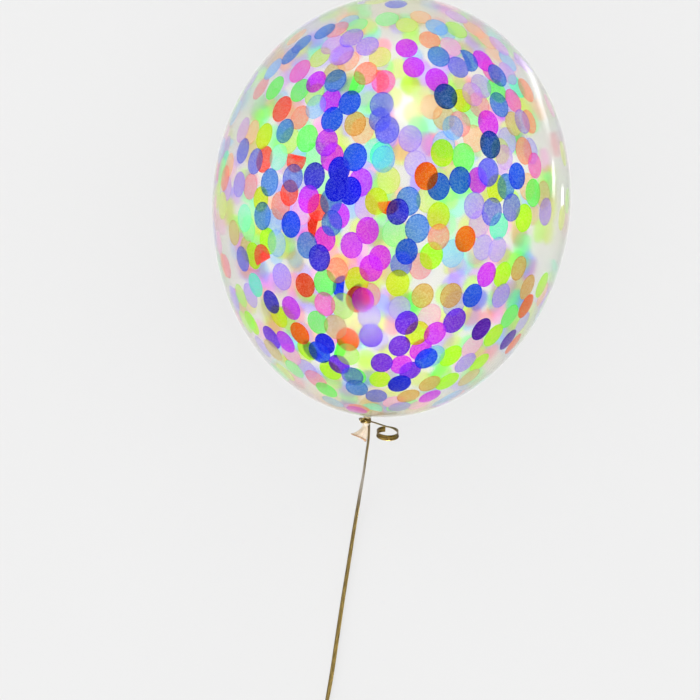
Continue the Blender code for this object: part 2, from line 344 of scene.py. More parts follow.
# Creased discs on the upper wall: paper, right and up in shares of the half sizes, how far the crease lies
# from the middle as a share of the radius, and how far the paper is folded over and turned round, in degrees.
CREASED_DISCS = (
    ("brick red", -0.41, -0.085, -0.05, 172, 192),
    ("green", -0.24, 0.60, -0.25, 170, 4),
    ("red", -0.53, 0.23, 0.45, 168, 96),
    ("red", -0.72, -0.24, 0.30, 170, 250),
    ("plum", -0.17, -0.43, 0.25, 168, 170),
    ("green", -0.31, -0.67, 0.00, 170, 20),
    ("steel blue", 0.43, 0.70, 0.30, 168, 350),
    ("salmon", -0.10, 0.60, -0.20, 168, 345),
    ("royal blue", -0.44, -0.68, 0.35, 165, 140),
    ("orange", -0.01, 0.05, -0.15, 170, 80),
    ("royal blue", -0.265, -0.39, 0.00, 170, 185),
)

LAMP_COLUMNS = 6  # in each lamp's sheet
LAMP_ROWS = 6  # in the sheets whose rows aren't listed above
LAMP_FADE = 1.5  # the larger it is, the softer are a sheet's edges

DISC_COLUMNS = 11  # cuts across a disc, where it can crease
MERGE_DISTANCE = 1e-5  # what is nearer than this is one place


def linear(colour):
    """An opaque linear colour, from an sRGB hex value."""
    channels = [int(colour[start : start + 2], 16) / 255 for start in (1, 3, 5)]
    return (*[c / 12.92 if c <= 0.04045 else ((c + 0.055) / 1.055) ** 2.4 for c in channels], 1.0)


def add(tree, kind, inputs=None, **settings):
    """A new node in the tree, with its settings, and its inputs given by name or number.

    An input is a value, a socket, or a node whose first live output is meant.
    """
    node = tree.nodes.new(kind)
    for name, value in settings.items():
        setattr(node, name, value)
    for key, value in (inputs or {}).items():
        if isinstance(value, bpy.types.Node):
            value = next(socket for socket in value.outputs if socket.enabled)
        if isinstance(value, bpy.types.NodeSocket):
            tree.links.new(value, node.inputs[key])
        else:
            node.inputs[key].default_value = value
    return node


def new_material(name):
    """An empty node material, and its tree."""
    material = bpy.data.materials.new(name)
    material.use_nodes = True
    material.node_tree.nodes.clear()
    return material, material.node_tree


def ramp_stops(node, *stops):
    """Give a colour ramp its stops, as (place, sRGB hex)."""
    ramp = node.color_ramp
    while len(ramp.elements) > 1:
        ramp.elements.remove(ramp.elements[-1])
    for index, (place, colour) in enumerate(stops):
        element = ramp.elements[0] if index == 0 else ramp.elements.new(place)
        element.position = place
        element.color = linear(colour)
    return node


# ---------------------------------------------------------------- materials


def mottle(tree, scale, low, high, detail=2.0, drawn=(1.0, 1.0, 1.0)):
    """Patches, scale of them in a metre and scaled by drawn, and a colour that drifts with them."""
    place = add(tree, "ShaderNodeTexCoord").outputs["Object"]
    place = add(tree, "ShaderNodeMapping", {"Vector": place, "Scale": drawn})
    patches = add(tree, "ShaderNodeTexNoise", {"Vector": place, "Scale": scale, "Detail": detail})
    colour = ramp_stops(add(tree, "ShaderNodeValToRGB", {"Fac": patches}), (0.3, low), (0.7, high))
    return patches, colour


def latex_material(name, roughness, sheen):
    """Clear dipped natural-rubber latex, blown thin.

    It is nearly colourless, and warmer where it is less stretched at the crown and the neck. Its outside is
    glossy. Its inside is dull with powder: what lies far behind it is soft, and what sticks to it is sharp.
    """
    settings = bpy.context.scene.confetti_balloon
    material, tree = new_material(name)
    tint = settings_hex(settings.latex_tint)
    place = add(tree, "ShaderNodeTexCoord").outputs["Object"]
    along = add(tree, "ShaderNodeSeparateXYZ", {"Vector": place}).outputs["Y"]
    ends = {"From Min": BODY_END, "From Max": BODY_MIDDLE.y + HALF_LENGTH}
    share = add(tree, "ShaderNodeMapRange", {"Value": along, **ends})
    thickness = ramp_stops(
        add(tree, "ShaderNodeValToRGB", {"Fac": share}),
        (0.0, "#F1E6CC"),
        (0.03, "#F6F0DF"),
        (0.08, tint),
        (0.95, tint),
        (1.0, "#F6F0DF"),
    )
    # Faint cloudiness, in patches of about 40 mm.
    cloud = add(tree, "ShaderNodeTexNoise", {"Vector": place, "Scale": 25.0, "Detail": 2.0})
    faint = {"From Min": 0.3, "From Max": 0.7, "To Min": 0.99, "To Max": 1.0}
    milk = add(tree, "ShaderNodeMapRange", {"Value": cloud, **faint})
    shader = add(
        tree,
        "ShaderNodeBsdfPrincipled",
        {
            "Base Color": add(tree, "ShaderNodeVectorMath", {0: thickness, "Scale": milk}, operation="SCALE"),
            "Roughness": roughness,
            "IOR": settings.latex_ior,
            "Transmission Weight": settings.latex_clearness,
            "Sheen Weight": sheen,
            "Sheen Roughness": 0.25,
        },
    )
    add(tree, "ShaderNodeOutputMaterial", {"Surface": shader})
    return material


def tail_material():
    """Unstretched natural-rubber latex, still at its dipped thickness, so it is cream, waxy and cloudy."""
    material, tree = new_material("unstretched latex")
    # Flow marks of about 1 mm, drawn out along the tail.
    flow, colour = mottle(tree, 1000.0, "#E4D4BC", "#F2E8D8", detail=3.0, drawn=(1.0, 0.25, 1.0))
    bump = add(tree, "ShaderNodeBump", {"Height": flow, "Strength": 0.25, "Distance": 0.0002})
    waxy = {"Roughness": 0.38, "IOR": 1.52, "Transmission Weight": 0.5}
    shader = add(tree, "ShaderNodeBsdfPrincipled", {"Base Color": colour, "Normal": bump, **waxy})
    add(tree, "ShaderNodeOutputMaterial", {"Surface": shader})
    return material


def lip_material():
    """The lip's bead, where the same latex is rolled over itself many times: amber, and hardly clear."""
    material, tree = new_material("rolled latex lip")
    _, colour = mottle(tree, 600.0, "#94704E", "#B38C6A")
    waxy = {"Roughness": 0.35, "IOR": 1.52, "Transmission Weight": 0.1}
    shader = add(tree, "ShaderNodeBsdfPrincipled", {"Base Color": colour, **waxy})
    add(tree, "ShaderNodeOutputMaterial", {"Surface": shader})
    return material


def tissue_material():
    """Neon tissue paper: matt, mottled by its fibres and translucent, with a painted glow in its own colour.

    Light is scattered on its way through, so two sheets that touch multiply their colours, while what lies
    far behind a sheet is lost. The glow is painted light: it stands in for the light that falls on the paper.
    Each disc's own dye comes from an attribute, and is deeper where the paper is thicker: at the clumps of
    its fibres, and at its pressed edge.
    """
    settings = bpy.context.scene.confetti_balloon
    material, tree = new_material("dyed tissue paper")
    dye = add(tree, "ShaderNodeAttribute", attribute_name="dye").outputs["Color"]
    place = add(tree, "ShaderNodeTexCoord").outputs["Object"]
    # Fibre clumps are under a millimetre, and are drawn at 1.4 mm so that they show.
    fibres = add(tree, "ShaderNodeTexNoise", {"Vector": place, "Scale": 1 / 0.0014, "Detail": 1.0})
    clumps = {"From Min": 0.34, "From Max": 0.66, "To Min": 1.3, "To Max": 0.7}
    clumped = add(tree, "ShaderNodeMapRange", {"Value": fibres, **clumps})
    flat = add(tree, "ShaderNodeAttribute", attribute_name="disc").outputs["Vector"]
    radius = add(tree, "ShaderNodeVectorMath", {0: flat}, operation="LENGTH")
    outer = settings.disc_radius
    rim = {"From Min": outer * 0.88, "From Max": outer, "To Min": 1.0, "To Max": 1.8}
    pressed = add(tree, "ShaderNodeMapRange", {"Value": radius, **rim}, interpolation_type="SMOOTHSTEP")
    depth = add(tree, "ShaderNodeMath", {0: clumped, 1: pressed}, operation="MULTIPLY")
    colour = add(tree, "ShaderNodeGamma", {"Color": dye, "Gamma": depth})
    shader = add(
        tree,
        "ShaderNodeBsdfPrincipled",
        {
            "Base Color": colour,
            "Roughness": 0.35,
            "IOR": 1.15,
            "Transmission Weight": settings.tissue_clearness,
            # A painted glow in the disc's own colour, which stands in for the light that falls on it.
            "Emission Color": colour,
            "Emission Strength": settings.tissue_painted_glow,
        },
    )
    add(tree, "ShaderNodeOutputMaterial", {"Surface": shader})
    return material


def ribbon_material():
    """Metallised polypropylene curling ribbon: satin gold, ribbed along its length, streaked with painted
    reflection.
    """
    settings = bpy.context.scene.confetti_balloon
    material, tree = new_material("metallised gold ribbon")
    uv = add(tree, "ShaderNodeUVMap", uv_map="ribbon")
    across = add(tree, "ShaderNodeSeparateXYZ", {"Vector": uv}).outputs["X"]
    # Ten ribs over the ribbon's width, twice the real spacing so that they show.
    phase = add(tree, "ShaderNodeMath", {0: across, 1: 10 * 2 * math.pi}, operation="MULTIPLY")
    ribs = add(tree, "ShaderNodeMath", {0: phase}, operation="SINE")
    streaks = add(tree, "ShaderNodeMapping", {"Vector": uv, "Scale": (6.0, 0.5, 1.0)})
    # Dark and light streaks drawn out along the ribbon: painted reflection, giving the metal its darks and
    # lights.
    painted_reflection_streaks = add(tree, "ShaderNodeTexNoise", {"Vector": streaks, "Scale": 1.0, "Detail": 4.0})
    colour = ramp_stops(
        add(tree, "ShaderNodeValToRGB", {"Fac": painted_reflection_streaks}),
        (0.30, "#3E3214"),
        (0.50, settings_hex(settings.ribbon_colour)),
        (0.72, "#9C8648"),
    )
    bump = add(tree, "ShaderNodeBump", {"Height": ribs, "Strength": 0.35, "Distance": 0.0001})
    satin = {"Metallic": 0.85, "Roughness": 0.32}
    shader = add(tree, "ShaderNodeBsdfPrincipled", {"Base Color": colour, "Normal": bump, **satin})
    add(tree, "ShaderNodeOutputMaterial", {"Surface": shader})
    return material


def paper_material():
    """Uncoated white paper, as a band cut from a sheet: matt, with soft fibre mottling."""
    material, tree = new_material("uncoated paper")
    fibres, colour = mottle(tree, 1200.0, "#DCD6C8", "#EFEBE0", detail=4.0)
    bump = add(tree, "ShaderNodeBump", {"Height": fibres, "Strength": 0.2, "Distance": 0.0001})
    shader = add(tree, "ShaderNodeBsdfPrincipled", {"Base Color": colour, "Roughness": 0.85, "Normal": bump})
    add(tree, "ShaderNodeOutputMaterial", {"Surface": shader})
    return material


def floor_material():
    """A matt light table: an opal sheet lit from below, brightest under the balloon, so no shadow shows."""
    material, tree = new_material("light table")
    _, colour = mottle(tree, 3.0, "#585858", "#5A5A5A")
    place = add(tree, "ShaderNodeTexCoord").outputs["Object"]
    ellipse = (1 / HALF_WIDTH, 1 / HALF_LENGTH, 0.0)
    centred = add(tree, "ShaderNodeMapping", {"Vector": place, "Scale": ellipse})
    out_from = add(tree, "ShaderNodeVectorMath", {0: centred}, operation="LENGTH")
    pool = {"From Min": 0.78, "From Max": 1.08, "To Min": 0.96, "To Max": 0.66}
    glow = add(tree, "ShaderNodeMapRange", {"Value": out_from, **pool}, interpolation_type="SMOOTHSTEP")
    lit = {"Emission Color": linear("#FFFFFF"), "Emission Strength": glow}
    matt = {"Roughness": 1.0, "Specular IOR Level": 0.0}
    shader = add(tree, "ShaderNodeBsdfPrincipled", {"Base Color": colour, **matt, **lit})
    add(tree, "ShaderNodeOutputMaterial", {"Surface": shader})
    return material


def settings_hex(colour):
    """The sRGB hex value of a colour property, which holds sRGB numbers."""
    return "#" + "".join(f"{round(channel * 255):02X}" for channel in colour)


# ---------------------------------------------------------------- shapes


def linked(name, mesh, *materials):
    """An object at the origin that holds the mesh, with these materials."""
    for material in materials:
        mesh.materials.append(material)
    obj = bpy.data.objects.new(name, mesh)
    bpy.context.scene.collection.objects.link(obj)
    return obj


def mesh_from(bm, name):
    """A plain mesh from the edited one, which is let go."""
    mesh = bpy.data.meshes.new(name)
    bm.to_mesh(mesh)
    bm.free()
    return mesh


def made_plain(obj):
    """Turn what the object's modifiers make into its own plain mesh."""
    graph = bpy.context.evaluated_depsgraph_get()
    evaluated = obj.evaluated_get(graph)
    mesh = bpy.data.meshes.new_from_object(evaluated, preserve_all_data_layers=True, depsgraph=graph)
    mesh.name = obj.name
    obj.modifiers.clear()
    obj.data = mesh


def node_modifier(obj, tree, values):
    """Put a Geometry Nodes tree on the object, with its inputs by name."""
    modifier = obj.modifiers.new(tree.name, "NODES")
    modifier.node_group = tree
    for item in tree.interface.items_tree:
        if item.in_out == "INPUT" and item.name in values:
            modifier[item.identifier] = values[item.name]


def new_tree(name, inputs):
    """A Geometry Nodes tree with named inputs, as (name, socket type, default), and its two end nodes."""
    tree = bpy.data.node_groups.new(name, "GeometryNodeTree")
    tree.interface.new_socket("Geometry", in_out="INPUT", socket_type="NodeSocketGeometry")
    for label, kind, default in inputs:
        socket = tree.interface.new_socket(label, in_out="INPUT", socket_type=kind)
        if default is not None:
            socket.default_value = default
    tree.interface.new_socket("Geometry", in_out="OUTPUT", socket_type="NodeSocketGeometry")
    return tree, add(tree, "NodeGroupInput").outputs, add(tree, "NodeGroupOutput").inputs


def egg_ring(angle, inset=0.0):
    """The egg's ring at this angle from the crown: its place on the axis and its radius."""
    radius = HALF_WIDTH * math.sin(angle) * (1 + CROWN_FULLNESS * math.cos(angle))
    normal = Vector((math.sin(angle) / HALF_WIDTH, math.cos(angle) / HALF_LENGTH)).normalized()
    place = BODY_MIDDLE.y + HALF_LENGTH * math.cos(angle) - inset * normal.y
    return place, max(0.0, radius - inset * normal.x)


def body_rings(count, inset=0.0):
    """Rings from the crown's pole to the shoulder."""
    last = math.pi - math.asin(SHOULDER_RADIUS / HALF_WIDTH / (1 - CROWN_FULLNESS))
    rings = [egg_ring(last * step / count, inset) for step in range(count + 1)]
    return [(rings[0][0], 0.0), *rings[1:]]


def curve_between(start, start_pull, end_pull, end, steps):
    """Points of a cubic Bezier after its first one, in any number of dimensions."""
    points = []
    for step in range(1, steps + 1):
        t = step / steps
        weights = ((1 - t) ** 3, 3 * t * (1 - t) ** 2, 3 * t * t * (1 - t), t**3)
        corners = zip(start, start_pull, end_pull, end)
        points.append(tuple(sum(w * c for w, c in zip(weights, corner)) for corner in corners))
    return points


def shoulder_rings(start, inset=0.0):
    """The hollow curve in which the body draws in to the neck."""
    neck_top = (BODY_END - NECK_START + inset, NECK_RADIUS - inset)
    pull = (BODY_END + inset, NECK_RADIUS)
    return curve_between(start, (BODY_END + inset, SHOULDER_RADIUS * 0.7), pull, neck_top, SHOULDER_RINGS)


def roll_rings():
    """The neck and the rolled latex knot below it."""
    middle = BODY_END - (NECK_END + TAIL_START) / 2
    half = (TAIL_START - NECK_END) / 2
    swells = []
    for step in range(ROLL_STEPS + 1):
        angle = math.pi * step / ROLL_STEPS
        swell = (ROLL_RADIUS - NECK_RADIUS) * math.sin(angle)
        swells.append((middle + half * math.cos(angle), NECK_RADIUS + swell))
    return swells


def tail_rings():
    """The tail's flared outside, the bead round its lip, and the open mouth back to its bottom."""
    bead_middle = BODY_END - TAIL_START - TAIL_LENGTH + LIP_BEAD
    outside = curve_between(
        (BODY_END - TAIL_START, NECK_RADIUS),
        (BODY_END - TAIL_START - TAIL_LENGTH * 0.35, NECK_RADIUS * 1.25),
        (bead_middle + TAIL_LENGTH * 0.35, LIP_RADIUS * 0.82),
        (bead_middle + LIP_BEAD * 0.7, LIP_RADIUS + LIP_BEAD * 0.2),
        24,
    )
    bead = []
    for step in range(BEAD_STEPS + 1):
        angle = math.radians(50 - 280 * step / BEAD_STEPS)
        bead.append((bead_middle + LIP_BEAD * math.sin(angle), LIP_RADIUS + LIP_BEAD * math.cos(angle)))
    mouth = curve_between(
        (bead_middle + LIP_BEAD * 0.7, LIP_RADIUS - TAIL_WALL),
        (bead_middle + MOUTH_DEPTH * 0.4, LIP_RADIUS * 0.72 - TAIL_WALL / 2),
        (bead_middle + MOUTH_DEPTH * 0.8, NECK_RADIUS * 0.55),
        (bead_middle + MOUTH_DEPTH, NECK_RADIUS * 0.45),
        16,
    )
    return outside, bead, mouth + [(bead_middle + MOUTH_DEPTH + TAIL_WALL, 0.0)]


def tail_form(y, radius, angle):
    """A point of the latex: the tail leans, is pleated where the neck gathers it, and its lip is cocked."""
    beyond = max(0.0, BODY_END - TAIL_START - y)
    flare = min(1.0, beyond / TAIL_LENGTH)
    pleats = FIVE_PLEATS * math.cos(5 * angle + 0.6) + NINE_PLEATS * math.sin(9 * angle)
    pleat = 1 + flare * (1 - 0.45 * flare) * pleats
    middle = Vector((-beyond * math.tan(TAIL_LEAN) - LIP_SWAY * flare * flare, y, BODY_MIDDLE.z))
    side = radius * pleat * math.sin(angle)
    height = radius * pleat * (1 - LIP_FLATNESS * flare) * math.cos(angle)
    cocked = -side * flare * flare * math.tan(LIP_TILT) + LIP_WAVE * flare * math.sin(2 * angle + 1.1)
    return middle + Vector((side, cocked, height))


def skin(bm, rings, segments, material_indices, form, turned_in=False):
    """Faces between rings (place on Y, radius) about the axis, with a material index for each gap."""
    loops = []
    for y, radius in rings:
        count = 1 if radius <= 0 else segments
        loops.append([bm.verts.new(form(y, radius, 2 * math.pi * step / segments)) for step in range(count)])
    for first, second, index in zip(loops, loops[1:], material_indices):
        for step in range(segments):
            after = (step + 1) % segments
            corners = [
                first[step % len(first)],
                first[after % len(first)],
                second[after % len(second)],
                second[step % len(second)],
            ]
            corners = list(dict.fromkeys(corners))
            face = bm.faces.new(corners if turned_in else corners[::-1])
            face.material_index = index
            face.smooth = True


def wall_form(inset):
    """A function that places a point of the body's wall at this inset, and keeps it above the flat spot."""

    def form(y, radius, angle):
        place = tail_form(y, radius, angle)
        place.z = max(place.z, inset)
        return place

    return form


def wall_mesh(inset):
    """A closed mesh of the latex's wall at this inset, for discs to stick to and lamps to mirror in."""
    bm = bmesh.new()
    rings = body_rings(WALL_RINGS, inset)
    rings += shoulder_rings(rings[-1], inset)
    rings.append((rings[-1][0], 0.0))
    skin(bm, rings, WALL_SEGMENTS, [0] * len(rings), wall_form(inset))
    return mesh_from(bm, "wall")


def ray_tree(mesh):
    """A tree that finds where rays meet the mesh."""
    bm = bmesh.new()
    bm.from_mesh(mesh)
    tree = BVHTree.FromBMesh(bm)
    bm.free()
    return tree


def smooth_route(points, spacing):
    """Points at this spacing along a smooth curve through the given ones."""
    points = [Vector(point) for point in points]
    padded = [2 * points[0] - points[1], *points, 2 * points[-1] - points[-2]]
    fine = []
    for before, start, end, after in zip(padded, padded[1:], padded[2:], padded[3:]):
        bend = 2 * before - 5 * start + 4 * end - after
        swing = 3 * start - before - 3 * end + after
        for step in range(FINE_STEPS):
            t = step / FINE_STEPS
            fine.append(0.5 * (2 * start + (end - before) * t + bend * t**2 + swing * t**3))
    fine.append(points[-1])
    travelled = travel(fine)
    count = round(travelled[-1] / spacing)
    route = []
    index = 0
    for step in range(count + 1):
        wanted = travelled[-1] * step / count
        while index < len(fine) - 2 and travelled[index + 1] < wanted:
            index += 1
        share = (wanted - travelled[index]) / (travelled[index + 1] - travelled[index])
        route.append(fine[index].lerp(fine[index + 1], share))
    return route


def travel(points):
    """The distance along the points up to each one."""
    travelled = [0.0]
    for first, second in zip(points, points[1:]):
        travelled.append(travelled[-1] + (second - first).length)
    return travelled


def smooth_step(value, start, end):
    """0 before start, 1 after end, and an eased rise between them."""
    share = min(1.0, max(0.0, (value - start) / (end - start)))
    return share * share * (3 - 2 * share)


def strip_mesh(name, route, start, width, thickness, lift, turn=None, columns=8, gathered=False):
    """A thin closed strip of ribbon along the route, with a UV map across and along it.

    Its width starts along start and is carried on without twisting, then turned by turn(distance). Without a
    turn it keeps to start as nearly as the route lets it. lift(step, share, distance) is how far a place on
    it stands out. A gathered strip is smooth over its edges too, and its map runs right round it.
    """
    settings = bpy.context.scene.confetti_balloon
    bm = bmesh.new()
    uv_layer = bm.loops.layers.uv.new("ribbon")
    shares = [step / columns for step in range(columns + 1)]
    shares += shares[::-1]
    size = len(shares)
    travelled = travel(route)
    rings = []
    across = Vector(start)
    for index, (point, distance) in enumerate(zip(route, travelled)):
        tangent = (route[min(len(route) - 1, index + 1)] - route[max(0, index - 1)]).normalized()
        across = across if turn else Vector(start)
        across = (across - tangent * across.dot(tangent)).normalized()
        turned = Matrix.Rotation(turn(distance), 3, tangent) @ across if turn else across
        normal = tangent.cross(turned)
        ring = []
        for corner, share in enumerate(shares):
            side, step = divmod(corner, columns + 1)
            rise = (0.5 - side) * thickness + lift(step, share, distance)
            ring.append(bm.verts.new(point + turned * (share - 0.5) * width + normal * rise))
        rings.append(ring)
    for row, (first, second) in enumerate(zip(rings, rings[1:])):
        for step in range(size):
            after = (step + 1) % size
            face = bm.faces.new((first[step], second[step], second[after], first[after]))
            face.smooth = gathered or step not in (columns, size - 1)
            map_across = (step / size, (step + 1) / size) if gathered else (shares[step], shares[after])
            for loop, end, side in zip(face.loops, (0, 1, 1, 0), (0, 0, 1, 1)):
                loop[uv_layer].uv = (map_across[side], travelled[row + end] / settings.ribbon_width)
    for ring in (rings[0], rings[-1]):
        for step in range(columns):
            face = bm.faces.new((ring[step], ring[step + 1], ring[size - 2 - step], ring[size - 1 - step]))
            for loop in face.loops:
                loop[uv_layer].uv = (shares[step], 0)
    bmesh.ops.recalc_face_normals(bm, faces=bm.faces)
    return mesh_from(bm, name)


def ribbon_end(name, route, start, turn, material):
    """A free end of the ribbon: flat, and slightly cupped."""
    settings = bpy.context.scene.confetti_balloon
    width = settings.ribbon_width

    def cup(step, share, distance):
        return RIBBON_CUP * width * (1 - (2 * share - 1) ** 2)

    return linked(name, strip_mesh(name, route, start, width, settings.ribbon_thickness, cup, turn), material)


# ---------------------------------------------------------------- the long and the short end of the ribbon


def long_end_route():
    """The route down from the knot and along the floor, then the coil's turns on edge."""
    settings = bpy.context.scene.confetti_balloon
    points = [Vector(point) for point in LONG_END_ROUTE]
    run = travel(points)[-1] + points[-1].y - COIL_MIDDLE.y
    turns = (settings.ribbon_length - run) / (math.pi * (COIL_OUTER + COIL_INNER))
    for step in range(round(turns * COIL_POINTS) + 1):
        angle = math.pi + 2 * math.pi * step / COIL_POINTS
        radius = COIL_OUTER + (COIL_INNER - COIL_OUTER) * step / (turns * COIL_POINTS)
        points.append(COIL_MIDDLE + Vector((radius * math.cos(angle), radius * math.sin(angle), -COIL_DROP)))
    route = smooth_route(points, LONG_END_SPACING)
    # Where it lies along the floor, the ribbon sinks until its lower edge touches.
    for point, distance in zip(route, travel(route)):
        near_floor = smooth_step(-point.z, -3 * FLOOR_RUN_HEIGHT, -FLOOR_RUN_HEIGHT)
        point.z -= near_floor * settings.ribbon_width / 2 * (1 - math.sin(long_end_twist(distance)))
    return route


def long_end_twist(distance):
    """The roll of the long end's width: near its edge at the knot, easing as it falls, on it in the coil."""
    eased = math.radians(70 - 25 * smooth_step(distance, 0.02, 0.34))
    return eased + (math.pi / 2 - eased) * smooth_step(distance, ON_EDGE_AT - 0.07, ON_EDGE_AT)


def short_end_route():
    """The route out of the knot and once round the curl, which leans over towards the knot."""
    points = [KNOT_MIDDLE + Vector(step) for step in SHORT_END_START]
    for step in range(25):
        share = step / 24
        angle = math.pi / 2 - CURL_TURN * share
        rise = math.sin(angle)
        out = Vector((math.cos(angle), rise * math.sin(CURL_TILT), rise * math.cos(CURL_TILT)))
        points.append(KNOT_MIDDLE + CURL_MIDDLE + out * CURL_RADIUS + CURL_DRIFT * share)
    return smooth_route(points, SHORT_END_SPACING)


def short_end_twist(distance):
    """The roll of the short end's width: on edge as it leaves the knot, and flat round the curl."""
    return math.radians(10 + 40 * smooth_step(distance, 0.021, 0.034))


class BALLOON_OT_ribbon_ends(bpy.types.Operator):
    """Lay the ribbon's long end out to its coil, and curl its short cut end"""

    bl_idname = "confetti_balloon.ribbon_ends"
    bl_label = "Ribbon Ends"

    def execute(self, context):
        material = ribbon_material()

        route = long_end_route()
        long_end = ribbon_end("ribbon_strand", route, (1, 0, 0), long_end_twist, material)
        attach(long_end, "root")
        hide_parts("ribbon_long_end", "ribbon_coil")

        route = short_end_route()
        short_end = ribbon_end("ribbon_curl", route, (0, 0, 1), short_end_twist, material)
        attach(short_end, "root")
        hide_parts("ribbon_short_end")
        return {"FINISHED"}


# ---------------------------------------------------------------- the latex


class BALLOON_OT_latex(bpy.types.Operator):
    """Blow up the clear latex: outside, inner wall, neck, rolled knot and open tail"""

    bl_idname = "confetti_balloon.latex"
    bl_label = "Clear Latex"

    def execute(self, context):
        settings = context.scene.confetti_balloon
        outside, wall, tail, lip = range(4)
        bm = bmesh.new()
        body = body_rings(BODY_RINGS)
        body += shoulder_rings(body[-1])
        roll = roll_rings()
        flare, bead, mouth = tail_rings()
        indices = [outside] * (len(body) - 1)
        indices += [tail] * (len(roll) + len(flare))
        indices += [lip] * (len(bead) + 1)
        indices += [tail] * len(mouth)
        skin(bm, body + roll + flare + bead + mouth, settings.latex_segments, indices, wall_form(0.0))

        inner = body_rings(BODY_RINGS, settings.latex_wall)
        inner += shoulder_rings(inner[-1], settings.latex_wall)
        inner.append((inner[-1][0], 0.0))
        walls = [wall] * len(inner)
        skin(bm, inner, settings.latex_segments, walls, wall_form(settings.latex_wall), turned_in=True)

        clear = latex_material("clear latex", roughness=0.02, sheen=0.4)
        powdered = latex_material("powdered latex", roughness=settings.inside_roughness, sheen=0.0)
        mesh = mesh_from(bm, "latex_balloon")
        balloon = linked("latex_balloon", mesh, clear, powdered, tail_material(), lip_material())
        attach(balloon, "root")
        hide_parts("balloon_envelope", "balloon_tail")
        return {"FINISHED"}


# ---------------------------------------------------------------- the confetti


